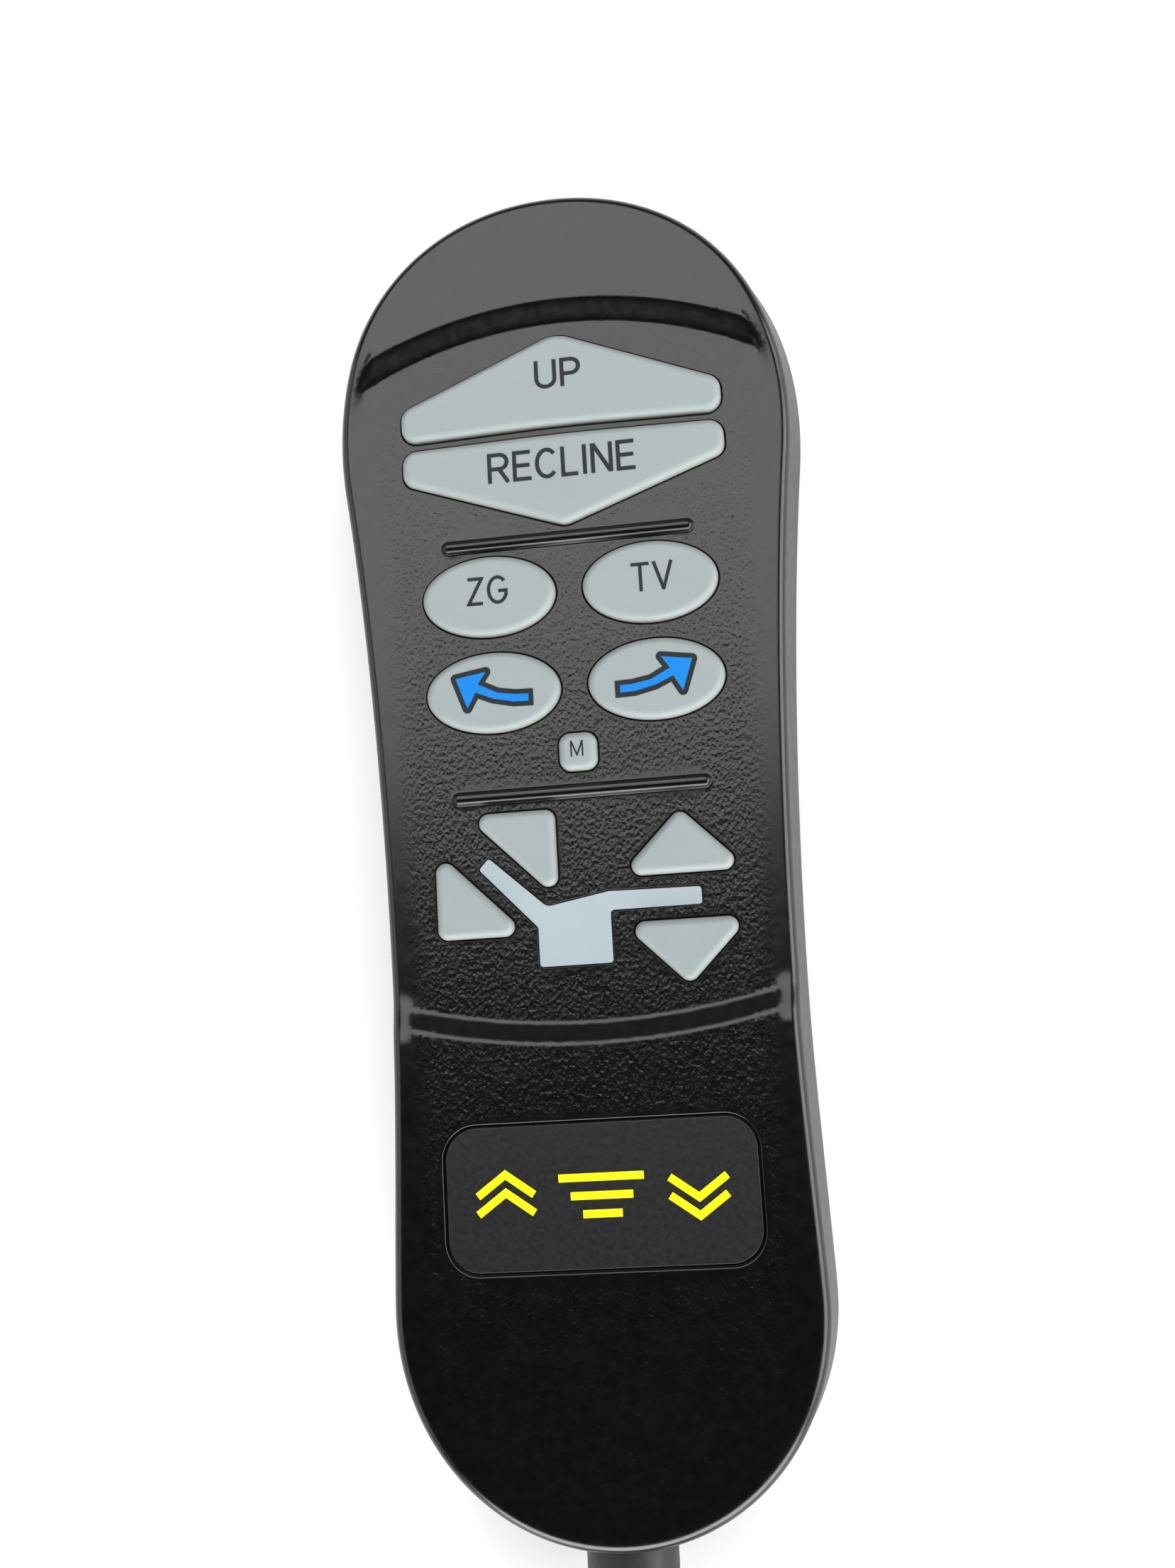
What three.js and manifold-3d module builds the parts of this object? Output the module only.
// Wired hand control for a powered lift chair: a two-part housing lying on its
// back, eleven rubber keys, and the lead with its round coil and plug.
// Millimetres. +X is the right of the face, +Y points to the wide head,
// +Z points out of the key face. Z = 0 is the surface that the back rests on.
import * as THREE from 'three';
import { mergeVertices } from 'three/addons/utils/BufferGeometryUtils.js';
import Module from 'manifold-3d';

const wasm = await Module();
wasm.setup();

// ---- Driving dimensions -------------------------------------------------

// Housing
const HANDLE_END_Y = -105.4;
const HEAD_END_Y = 104.7;
const FACE_Z = 23;
const RAISED_Z = 25;
const PARTING_Z = 13;
const SEAM = 0.3;
const WALL = 2.2;
const RIM_EDGE = 1.8;
const BACK_EDGE = 6;
const BACK_LEAN = 0.6;
const GAP = 0.3;
const ACROSS = [-60, 60];
const ALONG = [-120, 120];

// Arc-shaped sloped walls between the sunken key face and the raised ends
const HEAD_STEP = { y: 81.4, radius: 68.7 };
const HANDLE_STEP = { y: -30.5, radius: 114 };
const STEP_RUN_PER_RISE = 1.45;

// Keys: a cap standing through the face, on a thin flange
const KEY_TOP_Z = 24.3;
const KEY_BOTTOM_Z = 18.1;
const KEY_EDGE = 0.7;
const KEY_SIDE_GAP = 0.35;
const FLANGE_WIDTH = 0.5;
const FLANGE_Z = [19.2, 20.3];
const KEY_TRAVEL = 0.9;
const PILL_RADIUS = 1.9;
const PILL_HEIGHT = 0.6;

// Dividing ribs, nameplate and symbol window
const RIB = { halfLength: 20, width: 2, height: 0.9, yValues: [45.2, 4.7] };
const PLATE = { y: -55.4, halfWidth: 23.05, halfHeight: 10.4, corner: 4.7 };
const POCKET_DEPTH = 0.9;
const PLATE_THICKNESS = 0.75;
const WINDOW_GAP = 0.15;

// Circuit board and what is on it
const BOARD_TOP_Z = KEY_BOTTOM_Z - PILL_HEIGHT - KEY_TRAVEL - GAP;
const BOARD_THICKNESS = 1.6;
const BOARD_Z = [BOARD_TOP_Z - BOARD_THICKNESS, BOARD_TOP_Z];
const BOARD_Y = [-78, 82];
const BOARD_INSET = 4.4;
const MEMBRANE_Z = [18.9, 20.5];
const MEMBRANE_Y = [-28, 82];
const MEMBRANE_RIM = 2;

// Screws: four through the back, two on the cable clamp
const SCREW_PLACES = [[16, 86], [-16, 86], [19, -80], [-19, -80]];
const SCREW_SEAT_Z = 4.5;
const SCREW_HEAD = { radius: 2.9, lowZ: 2 };
const SCREW_SHANK = { radius: 1.45, tipZ: 18.5 };
const CLAMP = { x: 8, y: -90, halfWidth: 11, halfLength: 3, thickness: 1.8 };

// Right half of the outline as Bezier corners, from the handle's end to the head's end:
// at the parting line, and drawn in by the walls' draft at the foot of the rim.
const PARTING_OUTLINE = [
  [0, HANDLE_END_Y], [17.9, HANDLE_END_Y], [32.9, -90.8], [32.9, -71.2],
  [32.9, -65.7], [32.1, -43], [32.1, -32], [32.1, -12], [33.3, 23], [37.3, 55.3],
  [41.4, 86.8], [24, HEAD_END_Y], [0, HEAD_END_Y],
];
const RIM_OUTLINE = [
  [0, HANDLE_END_Y + 0.6], [17.4, HANDLE_END_Y + 0.6], [31.8, -90.5], [31.8, -71.2],
  [31.8, -65.7], [30.7, -43], [30.7, -32], [30.7, -12], [31.5, 23], [35.4, 55.3],
  [39.2, 85.5], [21.6, HEAD_END_Y - 2.2], [0, HEAD_END_Y - 2.2],
];

// Lead
const CORD_RADIUS = 3;
const CORD_Z = 12.85;
const RELIEF_BASE_Y = -104.6;
const RELIEF_TIP_Y = -135.3;
const RELIEF_BASE_RADIUS = 6.8;
const RELIEF_TIP_RADIUS = 4.4;
const COIL_CENTRE_Y = -218.2;
const COIL_OUTER_TURN = 43;
const COIL_PITCH = 6.1;
const COIL_BOTTOM_Z = 1.1;
const TIE_THICKNESS = 0.8;
const TIE_WIDTH = 8;
const TIE_ANGLES = [20, -100];

// Lead route from the strain relief to the coil, as laid by hand
const LEAD_ROUTE = [
  [0, -135.6, 12.85], [0, -141, 12.85], [0, -146.5, 12.7], [0, -151.6, 12],
  [0.5, -156.8, 10.8], [1.8, -161.9, 9.3], [4, -166.6, 7.6], [5.4, -168.8, 6.8],
];
// End of the lead, lying on the coil, from the last turn to the plug
const TAIL_ROUTE = [
  [-35.5, -224.5, 22.65], [-36.8, -215, 22.65], [-34.7, -205.6, 22.7], [-30.2, -197, 22.9],
  [-23.7, -189.9, 23.6], [-15.6, -184.8, 24.9], [-6.4, -181.6, 26.5], [-0.5, -181.3, 26.7],
];

// Plug lying on the coil, pointing along +X
const PLUG = { x: 0, y: -181.3, z: 26.7, bodyLength: 30, bodyRadius: 7, shellRadius: 6.6, shellLength: 9 };

// ---- Materials ----------------------------------------------------------

function plastic(color, roughness) {
  return new THREE.MeshStandardMaterial({ color, roughness, metalness: 0 });
}

function metal(color, roughness) {
  return new THREE.MeshStandardMaterial({ color, roughness, metalness: 1 });
}

const housingBlack = plastic(0x1c1d1f, 0.5);
const keySilicone = plastic(0xc4cbce, 0.55);
const webSilicone = plastic(0xb9c0c2, 0.6);
const symbolPlastic = plastic(0xb4bfc3, 0.45);
const plateSatin = plastic(0x323334, 0.4);
const carbonBlack = plastic(0x101010, 0.8);
const boardGreen = plastic(0x1e5a36, 0.45);
const chipBlack = plastic(0x18181a, 0.4);
const diodeWhite = plastic(0xe8e6da, 0.4);
const connectorWhite = plastic(0xe6e2d4, 0.5);
const cordBlack = plastic(0x141415, 0.55);
const screwSteel = metal(0xa9abad, 0.35);
const plugNickel = metal(0xc6c8ca, 0.25);
const pinBrass = metal(0xcfae62, 0.3);

// ---- Solids -------------------------------------------------------------

function solid(geometry) {
  const bare = geometry.clone();
  bare.deleteAttribute('normal');
  bare.deleteAttribute('uv');
  const merged = mergeVertices(bare, 1e-5);
  const vertProperties = new Float32Array(merged.attributes.position.array);
  const triVerts = new Uint32Array(merged.index.array);
  return new wasm.Manifold(new wasm.Mesh({ numProp: 3, vertProperties, triVerts }));
}

function geometryOf(manifold) {
  const { vertProperties, triVerts } = manifold.getMesh();
  const geometry = new THREE.BufferGeometry();
  geometry.setAttribute('position', new THREE.BufferAttribute(vertProperties, 3));
  geometry.setIndex(new THREE.BufferAttribute(triVerts, 1));
  geometry.computeVertexNormals();
  return geometry;
}

function piece(name, shape, material) {
  const geometry = shape.isBufferGeometry ? shape : geometryOf(shape);
  const mesh = new THREE.Mesh(geometry, material);
  mesh.name = name;
  return mesh;
}

// Upright plate of an outline; inset draws the outline in, edge rounds both faces' rims.
function slab(outline, zLow, zHigh, { inset = 0, edge = 0, rings = 0, curveSegments = 2 } = {}) {
  const geometry = new THREE.ExtrudeGeometry(outline, {
    depth: zHigh - zLow - 2 * edge,
    curveSegments,
    bevelEnabled: true,
    bevelThickness: edge,
    bevelSize: edge,
    bevelOffset: -edge - inset,
    bevelSegments: rings,
  });
  geometry.translate(0, 0, zLow + edge);
  return solid(geometry);
}

function box(xRange, yRange, zRange) {
  const size = [xRange, yRange, zRange].map(([low, high]) => high - low);
  const geometry = new THREE.BoxGeometry(...size);
  const centre = [xRange, yRange, zRange].map(([low, high]) => (low + high) / 2);
  geometry.translate(...centre);
  return solid(geometry);
}

function upright(radius, x, y, zLow, zHigh, sides = 14) {
  const geometry = new THREE.CylinderGeometry(radius, radius, zHigh - zLow, sides);
  geometry.rotateX(Math.PI / 2);
  geometry.translate(x, y, (zLow + zHigh) / 2);
  return solid(geometry);
}

function alongY(radius, yLow, yHigh, sides = 20) {
  const geometry = new THREE.CylinderGeometry(radius, radius, yHigh - yLow, sides);
  geometry.translate(0, (yLow + yHigh) / 2, CORD_Z);
  return solid(geometry);
}

function union(solids) {
  return solids.reduce((sum, next) => sum.add(next));
}

// ---- Outlines -----------------------------------------------------------

// The housing's outline, from the parting line (lean 0) to the foot of the rim (lean 1).
function housingOutline(lean = 0) {
  const between = ([x, y], i) => [x + lean * (RIM_OUTLINE[i][0] - x), y + lean * (RIM_OUTLINE[i][1] - y)];
  const right = PARTING_OUTLINE.map(between);
  const left = right.slice(0, -1).reverse().map(([x, y]) => [-x, y]);
  const corners = [...right, ...left];
  const shape = new THREE.Shape();
  shape.moveTo(...corners[0]);
  for (let i = 1; i < corners.length; i += 3) {
    shape.bezierCurveTo(...corners[i], ...corners[i + 1], ...corners[i + 2]);
  }
  return shape;
}

// Closed outline through [x, y, cornerRadius] points, anticlockwise.
function roundedPolygon(corners) {
  const shape = new THREE.Shape();
  corners.forEach(([x, y, radius], i) => {
    const corner = new THREE.Vector2(x, y);
    const toPoint = ([px, py]) => new THREE.Vector2(px, py).sub(corner).normalize();
    const back = toPoint(corners.at(i - 1));
    const ahead = toPoint(corners[(i + 1) % corners.length]);
    const halfAngle = Math.acos(back.dot(ahead)) / 2;
    const middle = back.clone().add(ahead).normalize();
    const centre = corner.clone().addScaledVector(middle, radius / Math.sin(halfAngle));
    const reach = radius / Math.tan(halfAngle);
    const start = corner.clone().addScaledVector(back, reach).sub(centre);
    const end = corner.clone().addScaledVector(ahead, reach).sub(centre);
    const turnsRight = back.cross(ahead) > 0;
    shape.absarc(centre.x, centre.y, radius, start.angle(), end.angle(), turnsRight);
  });
  return shape;
}

function mirroredPolygon(rightHalf) {
  const leftHalf = rightHalf.filter(([x]) => x > 0).reverse();
  return roundedPolygon([...rightHalf, ...leftHalf.map(([x, y, radius]) => [-x, y, radius])]);
}

function ellipseOutline(x, y, halfWidth, halfHeight) {
  const shape = new THREE.Shape();
  for (let quarter = 0; quarter < 4; quarter += 1) {
    const start = quarter * Math.PI / 2;
    shape.absellipse(x, y, halfWidth, halfHeight, start, start + Math.PI / 2, false, 0);
  }
  return shape;
}

function stadiumOutline(y, halfLength, radius) {
  const shape = new THREE.Shape();
  shape.absarc(halfLength - radius, y, radius, -Math.PI / 2, Math.PI / 2, false);
  shape.absarc(radius - halfLength, y, radius, Math.PI / 2, 3 * Math.PI / 2, false);
  return shape;
}

function roundedRectangle(x, y, halfWidth, halfHeight, radius) {
  return roundedPolygon([
    [x + halfWidth, y + halfHeight, radius], [x - halfWidth, y + halfHeight, radius],
    [x - halfWidth, y - halfHeight, radius], [x + halfWidth, y - halfHeight, radius],
  ]);
}

// Right-angled triangle key; the square corner points along (turn * 45 degrees).
function triangleOutline(x, y, eighthTurns) {
  const leg = 13.93;
  const turn = eighthTurns * Math.PI / 4;
  const apex = leg * Math.SQRT1_2;
  const corners = [[0, apex / 2], [-apex, -apex / 2], [apex, -apex / 2]];
  return roundedPolygon(corners.map(([cx, cy]) => [
    x + cx * Math.cos(turn) - cy * Math.sin(turn),
    y + cx * Math.sin(turn) + cy * Math.cos(turn),
    1.5,
  ]));
}

const KEYS = [
  ['up', mirroredPolygon([[0, 63.8, 300], [25.8, 63.2, 2.5], [25.8, 68.7, 2.5], [0, 79.3, 6]])],
  ['recline', mirroredPolygon([[0, 47.1, 2.5], [25.8, 56.4, 2.2], [25.8, 61.8, 2.4], [0, 62.3, 300]])],
  ['zero_gravity', ellipseOutline(-12.75, 36.6, 10.57, 6.45)],
  ['tv', ellipseOutline(12.75, 36.6, 10.57, 6.45)],
  ['arrow_left', ellipseOutline(-12.75, 21.1, 10.57, 6.35)],
  ['arrow_right', ellipseOutline(12.75, 21.1, 10.57, 6.35)],
  ['memory', roundedRectangle(0, 10.7, 2.95, 2.95, 1.8)],
  ['foot_up', triangleOutline(14.84, -4.1, 0)],
  ['foot_down', triangleOutline(14.84, -20.9, 4)],
  ['back_up', triangleOutline(-7.7, -1.4, 7)],
  ['back_down', triangleOutline(-19.6, -13.4, 3)],
];

// Side view of a reclining chair: slanted back, seat, lifted footrest.
const symbolOutline = roundedPolygon([
  [-14.9, -4.7, 0.5], [-16.5, -6.4, 0.5], [-7.7, -15.8, 0.5], [-7.7, -21.8, 0.5], [3.5, -21.8, 0.5],
  [3.5, -13.9, 0.5], [17.4, -13.9, 0.5], [17.4, -11.2, 0.5], [3.3, -11, 1.5], [-6.2, -12.7, 1.5],
]);

// ---- Housing ------------------------------------------------------------

const SHELL_SEGMENTS = 8;

function housingRing(lean, inset, z) {
  const points = housingOutline(lean).getPoints(SHELL_SEGMENTS).slice(0, -1);
  const count = points.length;
  const drawnIn = points.map((point, i) => {
    const along = points[(i + 1) % count].clone().sub(points[(i + count - 1) % count]).normalize();
    return new THREE.Vector2(point.x - along.y * inset, point.y + along.x * inset);
  });
  return { points: drawnIn, z };
}

// Solid through rings of equal point counts, listed from the lowest up.
function loft(rings) {
  const count = rings[0].points.length;
  const positions = rings.flatMap(({ points, z }) => points.flatMap(({ x, y }) => [x, y, z]));
  const index = [];
  for (let k = 0; k < rings.length - 1; k += 1) {
    for (let i = 0; i < count; i += 1) {
      const here = k * count + i;
      const next = k * count + (i + 1) % count;
      index.push(here, next, next + count, here, next + count, here + count);
    }
  }
  const top = (rings.length - 1) * count;
  for (const [a, b, c] of THREE.ShapeUtils.triangulateShape(rings[0].points, [])) {
    index.push(c, b, a);
    index.push(top + a, top + b, top + c);
  }
  const geometry = new THREE.BufferGeometry();
  geometry.setAttribute('position', new THREE.Float32BufferAttribute(positions, 3));
  geometry.setIndex(index);
  return solid(geometry);
}

// Rounded back, drafted walls and a tight rim; inset draws the whole surface inwards.
function housingBlock(topZ, inset = 0) {
  const steps = [0, 1, 2, 3];
  const backRadius = BACK_EDGE - inset;
  const rimRadius = Math.max(RIM_EDGE - inset, 0.2);
  const rimReach = inset + rimRadius;
  const back = steps.map((step) => {
    const angle = step * Math.PI / 6;
    const z = BACK_EDGE - backRadius * Math.cos(angle);
    return housingRing(BACK_LEAN * (1 - z / PARTING_Z), BACK_EDGE - backRadius * Math.sin(angle), z);
  });
  const lean = (topZ - RIM_EDGE - PARTING_Z) / (RAISED_Z - RIM_EDGE - PARTING_Z);
  const rim = steps.map((step) => {
    const angle = step * Math.PI / 6;
    const z = topZ - rimReach + rimRadius * Math.sin(angle);
    return housingRing(lean, rimReach - rimRadius * Math.cos(angle), z);
  });
  return loft([...back, housingRing(0, inset, PARTING_Z), ...rim]);
}

function housingLevel(inset, zLow, zHigh) {
  return slab(housingOutline(), zLow, zHigh, { inset, curveSegments: SHELL_SEGMENTS });
}

// Solid over the sunken face, its two ends leaning outwards as they rise.
function sunkenRegion(floorZ, height, widen) {
  const halfWidth = 60;
  const run = height * STEP_RUN_PER_RISE;
  const outlineAt = (grow) => {
    const shape = new THREE.Shape();
    const head = HEAD_STEP.y + grow + widen;
    const handle = HANDLE_STEP.y - grow - widen;
    const headHalfAngle = Math.asin(halfWidth / HEAD_STEP.radius);
    const handleHalfAngle = Math.asin(halfWidth / HANDLE_STEP.radius);
    shape.absarc(0, head - HEAD_STEP.radius, HEAD_STEP.radius,
      Math.PI / 2 - headHalfAngle, Math.PI / 2 + headHalfAngle, false);
    shape.absarc(0, handle + HANDLE_STEP.radius, HANDLE_STEP.radius,
      -Math.PI / 2 - handleHalfAngle, -Math.PI / 2 + handleHalfAngle, false);
    return shape.getPoints(12);
  };
  return loft([
    { points: outlineAt(0), z: floorZ },
    { points: outlineAt(run), z: floorZ + height },
  ]);
}

function facedBlock(inset) {
  const sunken = sunkenRegion(FACE_Z - inset, 3, inset ? WALL / 2 : 0);
  return housingBlock(FACE_Z, inset).add(housingBlock(RAISED_Z, inset).subtract(sunken));
}

function bossSpots(radius, zLow, zHigh) {
  return SCREW_PLACES.map(([x, y]) => upright(radius, x, y, zLow, zHigh));
}

const CLAMP_Z = CORD_Z + CORD_RADIUS;

function clampBlock(zRange) {
  const { y, halfWidth, halfLength } = CLAMP;
  return box([-halfWidth, halfWidth], [y - halfLength, y + halfLength], zRange);
}

function atClampScrews(make) {
  return [make(CLAMP.x, 0), make(-CLAMP.x, 1)];
}

function leadExitCuts() {
  return [
    alongY(RELIEF_BASE_RADIUS + GAP, HANDLE_END_Y - 5, RELIEF_BASE_Y + GAP),
    alongY(5.3, HANDLE_END_Y, HANDLE_END_Y + 6),
    alongY(8.2, HANDLE_END_Y + WALL + 0.05, HANDLE_END_Y + 9),
  ];
}

function topShell() {
  const outer = facedBlock(0);
  const above = box(ACROSS, ALONG, [PARTING_Z, 2 * RAISED_Z]);
  const ribs = RIB.yValues.map((y) => slab(
    stadiumOutline(y, RIB.halfLength, RIB.width / 2),
    FACE_Z - 1, FACE_Z + RIB.height, { edge: 0.4, rings: 2 },
  ));
  const bosses = union(bossSpots(3.4, PARTING_Z, RAISED_Z - 1)).intersect(outer);
  const pilots = bossSpots(1.65, PARTING_Z - 1, 19.5);
  const openings = KEYS.map(([, outline]) => slab(outline, 18, 26, { inset: -KEY_SIDE_GAP }));
  const symbolOpening = slab(symbolOutline, 18, 26, { inset: -WINDOW_GAP });
  const plateOutline = roundedRectangle(0, PLATE.y, PLATE.halfWidth, PLATE.halfHeight, PLATE.corner);
  const pocket = slab(plateOutline, RAISED_Z - POCKET_DEPTH, RAISED_Z + 1, { inset: -0.4 });
  const cuts = union([...pilots, ...openings, symbolOpening, pocket, ...leadExitCuts()]);
  return outer.subtract(facedBlock(WALL)).intersect(above).add(bosses).add(union(ribs)).subtract(cuts);
}

function bottomShell() {
  const outer = housingBlock(RAISED_Z);
  const below = box(ACROSS, ALONG, [-1, PARTING_Z - SEAM]);
  const hollow = housingBlock(RAISED_Z, WALL);
  const tongueOuter = housingLevel(WALL + 2 * GAP, PARTING_Z - 2.5, PARTING_Z + 1.2);
  const tongueRoot = housingLevel(WALL - GAP, PARTING_Z - 4, PARTING_Z - 1.5);
  const tongueInner = housingLevel(WALL + 2 * GAP + 1.1, PARTING_Z - 5, PARTING_Z + 5);
  const tongue = tongueOuter.add(tongueRoot).subtract(tongueInner);
  const bosses = bossSpots(4.4, WALL - 0.5, PARTING_Z - SEAM);
  const bores = bossSpots(1.8, -1, PARTING_Z + 1);
  const headSeats = bossSpots(3.4, -1, SCREW_SEAT_Z);
  const boardPosts = [[0, 78], [24, 20], [-24, 20], [22, -40], [-22, -40]].map(
    ([x, y]) => upright(2.2, x, y, WALL - 0.5, BOARD_Z[0]),
  );
  const saddle = clampBlock([WALL - 0.5, CORD_Z - CORD_RADIUS]);
  const clampPosts = atClampScrews((x) => upright(2.6, x, CLAMP.y, WALL, CLAMP_Z));
  const clampPilots = atClampScrews((x) => upright(1.05, x, CLAMP.y, WALL + 5, RAISED_Z, 12));
  const added = union([tongue, ...bosses, ...boardPosts, saddle, ...clampPosts]);
  const clearOfTop = union(bossSpots(3.8, PARTING_Z - SEAM, 20));
  const cuts = union([...bores, ...headSeats, ...clampPilots, clearOfTop, ...leadExitCuts()]);
  return outer.subtract(hollow).intersect(below).add(added).subtract(cuts);
}

// ---- Keys, membrane and board -------------------------------------------

function keySolid(outline) {
  const cap = slab(outline, KEY_BOTTOM_Z, KEY_TOP_Z, { edge: KEY_EDGE, rings: 2 });
  return cap.add(slab(outline, ...FLANGE_Z, { inset: -FLANGE_WIDTH }));
}

function contactPill(outline) {
  const bounds = new THREE.Box2().setFromPoints(outline.getPoints(6));
  const centre = bounds.getCenter(new THREE.Vector2());
  const geometry = new THREE.CylinderGeometry(PILL_RADIUS, PILL_RADIUS, PILL_HEIGHT, 16);
  geometry.rotateX(Math.PI / 2);
  geometry.translate(centre.x, centre.y, KEY_BOTTOM_Z - PILL_HEIGHT / 2);
  return geometry;
}

function insetBand(inset, yRange, zRange) {
  const plate = slab(housingOutline(), ...zRange, { inset, curveSegments: 6 });
  return plate.intersect(box(ACROSS, yRange, zRange));
}

function membrane() {
  const inset = 5;
  const web = insetBand(inset, MEMBRANE_Y, MEMBRANE_Z);
  const rimZ = [BOARD_Z[1], MEMBRANE_Z[0] + 0.2];
  const innerY = [MEMBRANE_Y[0] + MEMBRANE_RIM, MEMBRANE_Y[1] - MEMBRANE_RIM];
  const rim = insetBand(inset, MEMBRANE_Y, rimZ).subtract(insetBand(inset + MEMBRANE_RIM, innerY, rimZ));
  const holes = KEYS.map(([, outline]) => slab(outline, 15, 22, { inset: -FLANGE_WIDTH - KEY_SIDE_GAP }));
  holes.push(box([-25.6, 25.6], [60, 65], [15, 22]));
  const symbolHole = slab(symbolOutline, 15, 22, { inset: -FLANGE_WIDTH - KEY_SIDE_GAP });
  return web.add(rim).subtract(union([...holes, symbolHole, ...bossSpots(3.8, 10, 25)]));
}

function circuitBoard() {
  return insetBand(BOARD_INSET, BOARD_Y, BOARD_Z).subtract(union(bossSpots(3.8, 10, 25)));
}

function lathe(profile, segments) {
  return new THREE.LatheGeometry(profile.map(([r, h]) => new THREE.Vector2(r, h)), segments);
}

function screw(headRadius, headLow, headHigh, shankRadius, tipZ) {
  const up = Math.sign(tipZ - headHigh);
  const profile = [[0, headLow], [headRadius, headLow], [headRadius, headHigh],
    [shankRadius, headHigh], [shankRadius, tipZ - up], [0, tipZ]];
  const geometry = lathe(up > 0 ? profile : profile.reverse(), 12);
  geometry.rotateX(Math.PI / 2);
  return geometry;
}

// ---- Lead ---------------------------------------------------------------

function strainRelief() {
  return lathe([
    [0, RELIEF_TIP_Y], [RELIEF_TIP_RADIUS - 0.8, RELIEF_TIP_Y], [RELIEF_TIP_RADIUS, RELIEF_TIP_Y + 0.8],
    [RELIEF_BASE_RADIUS, RELIEF_BASE_Y - 4], [RELIEF_BASE_RADIUS, RELIEF_BASE_Y],
    [5, RELIEF_BASE_Y], [5, -102.8], [7.6, -102.8], [7.6, -101], [0, -101],
  ], 20);
}

function tube(route, radius, sides, steps) {
  const curve = new THREE.CatmullRomCurve3(route.map((point) => new THREE.Vector3(...point)));
  const section = new THREE.Shape();
  section.absarc(0, 0, radius, 0, 2 * Math.PI, false);
  const options = { steps, curveSegments: sides / 2, bevelEnabled: false, extrudePath: curve };
  return new THREE.ExtrudeGeometry(section, options);
}

const COIL_INNER_TURN = COIL_OUTER_TURN - 3 * COIL_PITCH;
const COIL_REACH = { inner: COIL_INNER_TURN - CORD_RADIUS - 0.2, outer: COIL_OUTER_TURN + CORD_RADIUS + 0.2 };
const COIL_TOP_Z = COIL_BOTTOM_Z + 2 * COIL_PITCH + 2 * CORD_RADIUS;

function coil() {
  const corner = 2;
  const { inner, outer } = COIL_REACH;
  const ring = lathe([
    [inner + corner, COIL_BOTTOM_Z], [outer - corner, COIL_BOTTOM_Z], [outer, COIL_BOTTOM_Z + corner],
    [outer, COIL_TOP_Z - corner], [outer - corner, COIL_TOP_Z], [inner + corner, COIL_TOP_Z],
    [inner, COIL_TOP_Z - corner], [inner, COIL_BOTTOM_Z + corner], [inner + corner, COIL_BOTTOM_Z],
  ], 36);
  ring.rotateX(Math.PI / 2);
  ring.translate(0, COIL_CENTRE_Y, 0);
  return ring;
}

// Band around the coil's bundle, made on its +X side.
function tie() {
  const middle = (COIL_REACH.inner + COIL_REACH.outer) / 2;
  const halfWide = (COIL_REACH.outer - COIL_REACH.inner) / 2 + 0.7;
  const middleZ = (COIL_BOTTOM_Z + COIL_TOP_Z) / 2;
  const halfHigh = middleZ - TIE_THICKNESS;
  const outer = roundedRectangle(middle, middleZ, halfWide + TIE_THICKNESS, halfHigh + TIE_THICKNESS, 2.4);
  outer.holes.push(roundedRectangle(middle, middleZ, halfWide, halfHigh, 1.6));
  const band = new THREE.ExtrudeGeometry(outer, { depth: TIE_WIDTH, bevelEnabled: false, curveSegments: 2 });
  band.rotateX(Math.PI / 2);
  band.translate(0, TIE_WIDTH / 2, 0);
  return band;
}

function plugPieces() {
  const group = new THREE.Group();
  const { bodyLength, bodyRadius, shellRadius, shellLength } = PLUG;
  group.position.set(PLUG.x, PLUG.y, PLUG.z);
  group.rotation.z = -Math.PI / 2;
  const body = lathe([
    [0, 0], [4.2, 0], [4.8, 10], [bodyRadius - 0.6, 12], [bodyRadius, 13], [bodyRadius, bodyLength - 1],
    [bodyRadius - 1, bodyLength], [0, bodyLength],
  ], 20);
  group.add(piece('plug_body', body, cordBlack));
  const shellStart = bodyLength + GAP;
  const shellEnd = shellStart + shellLength;
  const inner = shellRadius - 0.6;
  const shell = lathe([
    [inner, shellStart], [shellRadius, shellStart], [shellRadius, shellEnd],
    [inner, shellEnd], [inner, shellStart],
  ], 20);
  group.add(piece('plug_shell', shell, plugNickel));
  const insertRadius = inner - GAP;
  const insertEnd = shellStart + 3;
  const insert = lathe([
    [0, shellStart], [insertRadius, shellStart], [insertRadius, insertEnd], [0, insertEnd],
  ], 20);
  group.add(piece('plug_insert', insert, chipBlack));
  for (let i = 0; i < 5; i += 1) {
    const angle = (i - 2) * Math.PI / 4;
    const pin = new THREE.CylinderGeometry(0.7, 0.7, 5, 10);
    pin.translate(3.6 * Math.sin(angle), insertEnd + GAP + 2.5, 3.6 * Math.cos(angle));
    group.add(piece(`plug_pin_${i + 1}`, pin, pinBrass));
  }
  return group;
}

// ---- Assembly -----------------------------------------------------------

const handControl = new THREE.Group();
handControl.name = 'hand_control';

handControl.add(piece('top_shell', topShell(), housingBlack));
handControl.add(piece('bottom_shell', bottomShell(), housingBlack));
handControl.add(piece('keypad_membrane', membrane(), webSilicone));
handControl.add(piece('circuit_board', circuitBoard(), boardGreen));

for (const [name, outline] of KEYS) {
  const keyGroup = new THREE.Group();
  keyGroup.add(piece(`key_${name}`, keySolid(outline), keySilicone));
  keyGroup.add(piece(`contact_pill_${name}`, contactPill(outline), carbonBlack));
  handControl.add(keyGroup);
}

const windowSolid = slab(symbolOutline, 20.6, FACE_Z - 0.05, {});
handControl.add(piece('symbol_window', windowSolid, symbolPlastic));

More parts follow.
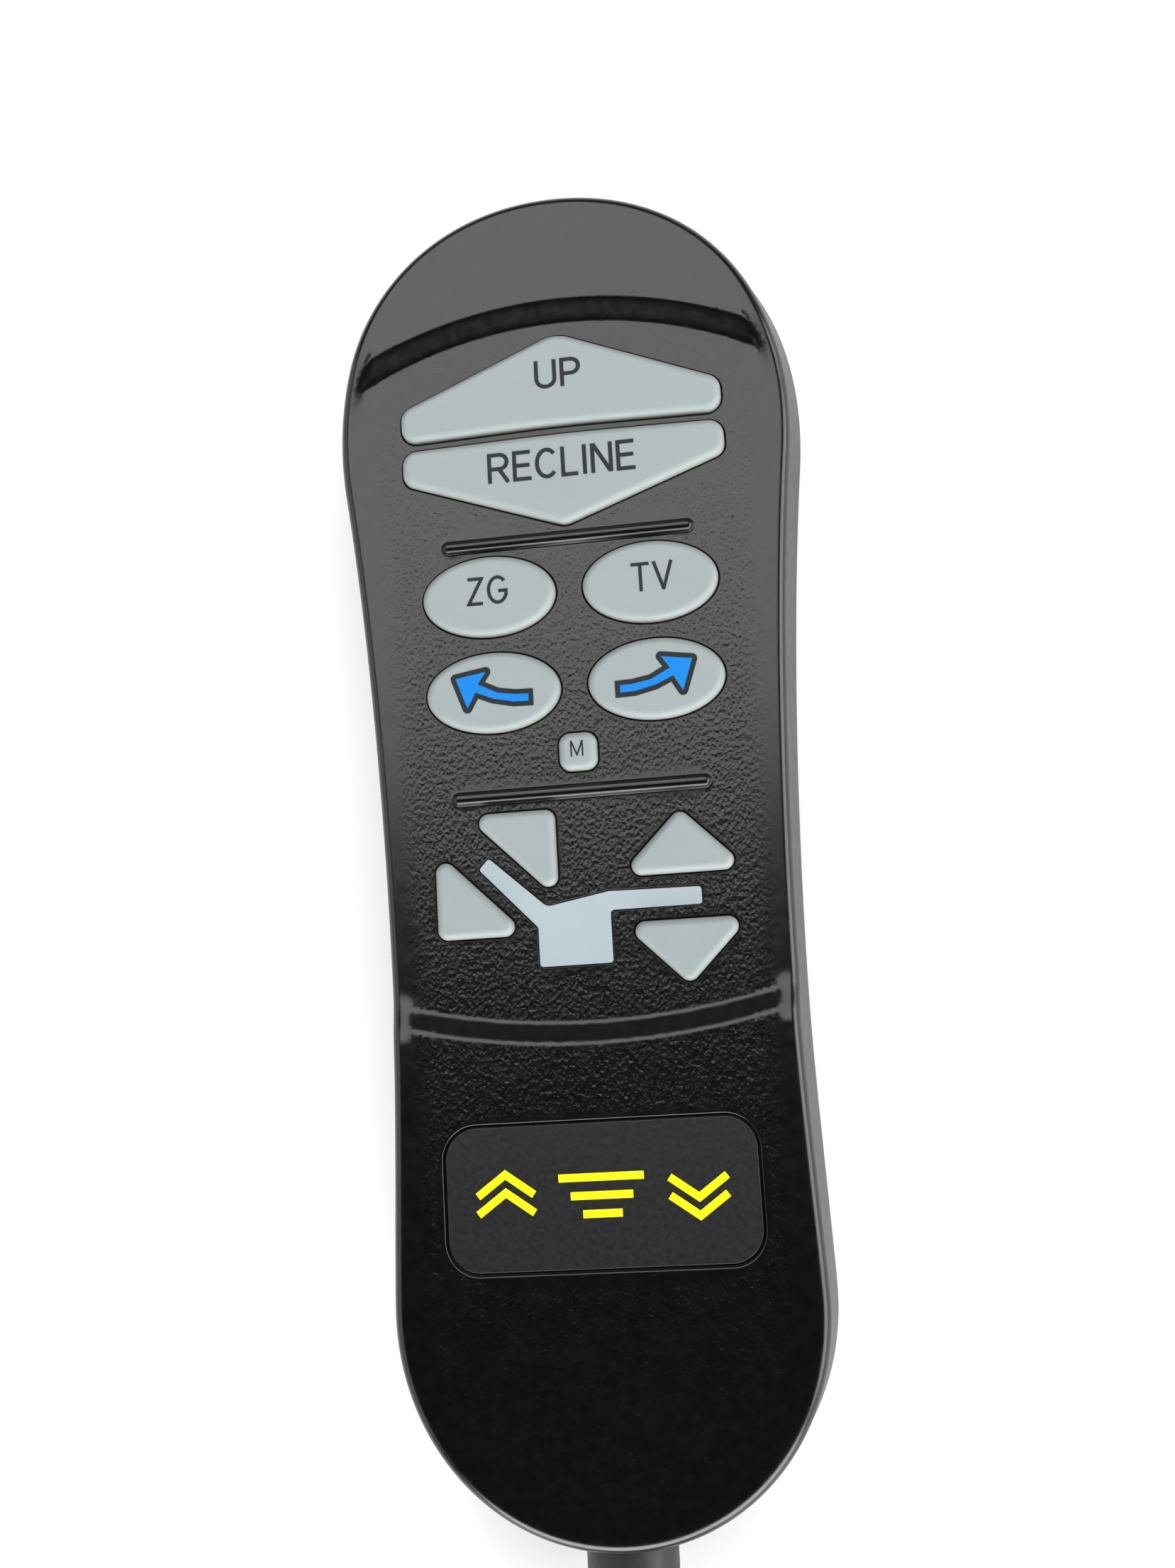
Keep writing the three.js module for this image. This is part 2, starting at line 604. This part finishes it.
const plateSolid = slab(
  roundedRectangle(0, PLATE.y, PLATE.halfWidth, PLATE.halfHeight, PLATE.corner),
  RAISED_Z - POCKET_DEPTH, RAISED_Z - POCKET_DEPTH + PLATE_THICKNESS, {},
);
handControl.add(piece('nameplate', plateSolid, plateSatin));

SCREW_PLACES.forEach(([x, y], i) => {
  const { radius, lowZ } = SCREW_HEAD;
  const shape = screw(radius, lowZ, SCREW_SEAT_Z - 0.1, SCREW_SHANK.radius, SCREW_SHANK.tipZ);
  const caseScrew = piece(`case_screw_${i + 1}`, shape, screwSteel);
  caseScrew.position.set(x, y, 0);
  handControl.add(caseScrew);
});

const boardTop = BOARD_Z[1];
const controllerChip = box([-26, -18], [-58, -50], [boardTop, boardTop + 1.6]);
handControl.add(piece('controller_chip', controllerChip, chipBlack));
handControl.add(piece('wire_header', box([-7, 7], [-76, -70], [boardTop, boardTop + 4.5]), connectorWhite));
[[12, 58], [0, 28.8], [-2, -8], [24, -12.5]].forEach(([x, y], i) => {
  const diode = box([x - 1, x + 1], [y - 0.6, y + 0.6], [boardTop, boardTop + 0.7]);
  handControl.add(piece(`backlight_diode_${i + 1}`, diode, diodeWhite));
});

const clampTopZ = CLAMP_Z + CLAMP.thickness;
const clampHoles = atClampScrews((x) => upright(1.4, x, CLAMP.y, PARTING_Z, RAISED_Z, 12));
const clampBar = clampBlock([CLAMP_Z, clampTopZ]).subtract(union(clampHoles));
handControl.add(piece('cable_clamp', clampBar, housingBlack));
atClampScrews((x, i) => {
  const clampScrew = piece(`clamp_screw_${i + 1}`, screw(2, clampTopZ + 1.2, clampTopZ, 0.95, 9), screwSteel);
  clampScrew.position.set(x, CLAMP.y, 0);
  handControl.add(clampScrew);
});
handControl.add(piece('inner_cable', alongY(CORD_RADIUS - 0.1, -100.7, -84, 12), cordBlack));
const ribbonRoute = [[0, -83.7, CORD_Z], [0, -81, 13.4], [0, -78.5, 18], [0, -76.3, 18.6]];
handControl.add(piece('wire_ribbon', tube(ribbonRoute, 1.2, 8, 6), chipBlack));

const lead = new THREE.Group();
const relief = piece('strain_relief', strainRelief(), cordBlack);
relief.position.z = CORD_Z;
lead.add(relief);
lead.add(piece('cord_lead', tube(LEAD_ROUTE, CORD_RADIUS, 10, 8), cordBlack));
lead.add(piece('cord_coil', coil(), cordBlack));
lead.add(piece('cord_tail', tube(TAIL_ROUTE, CORD_RADIUS, 10, 4), cordBlack));
TIE_ANGLES.forEach((degrees, i) => {
  const band = piece(`cord_tie_${i + 1}`, tie(), cordBlack);
  band.position.y = COIL_CENTRE_Y;
  band.rotation.z = THREE.MathUtils.degToRad(degrees);
  lead.add(band);
});
lead.add(plugPieces());
handControl.add(lead);

export default handControl;
